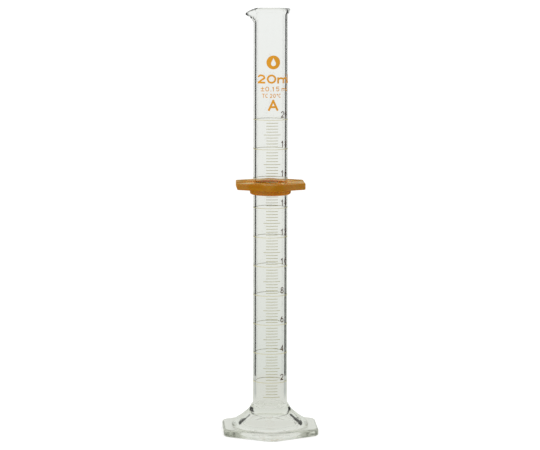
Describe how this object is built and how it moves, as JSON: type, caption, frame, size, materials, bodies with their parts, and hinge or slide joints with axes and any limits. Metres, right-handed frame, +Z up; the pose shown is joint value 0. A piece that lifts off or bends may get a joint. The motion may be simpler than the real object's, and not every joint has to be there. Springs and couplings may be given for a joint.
{
  "type": "graduated measuring cylinder",
  "caption": "Slim glass measuring cylinder with a pouring spout, a hexagonal glass foot, a fired-on volume scale and a soft sliding guard ring.",
  "frame": {"origin": "middle of the foot's underside, at the level it stands on", "axes": "+Z up the bore; one corner of the foot faces -Y, with the middle of the scale 2.7 degrees from it; the spout points to -X"},
  "size_m": [0.0446, 0.0502, 0.2],
  "materials": {
    "tube_glass": "clear, drawn and fire-polished",
    "foot_glass": "clear, pressed, with a slight green cast where it is thick",
    "guard_pvc": "amber soft PVC, glossy and slightly translucent",
    "fired_enamel": "amber-brown enamel fired onto the glass"
  },
  "bodies": {
    "cylinder": {"tube": "tube_glass", "hex_foot": "foot_glass", "scale_rings": "fired_enamel", "scale_half_marks": "fired_enamel", "scale_short_marks": "fired_enamel", "numeral_2": "fired_enamel", "numeral_4": "fired_enamel", "numeral_6": "fired_enamel", "numeral_8": "fired_enamel", "numeral_10": "fired_enamel", "numeral_12": "fired_enamel", "numeral_14": "fired_enamel", "numeral_16": "fired_enamel", "numeral_18": "fired_enamel", "numeral_20": "fired_enamel", "class_letter": "fired_enamel", "temperature_text": "fired_enamel", "tolerance_text": "fired_enamel", "capacity_text": "fired_enamel", "round_mark": "fired_enamel"},
    "guard": {"guard_ring": "guard_pvc"}
  },
  "joints": [
    {"name": "guard_slide", "type": "slide", "parent": "cylinder", "child": "guard", "axis": [0, 0, 1], "range_m": [-0.0995, 0.0735]}
  ]
}
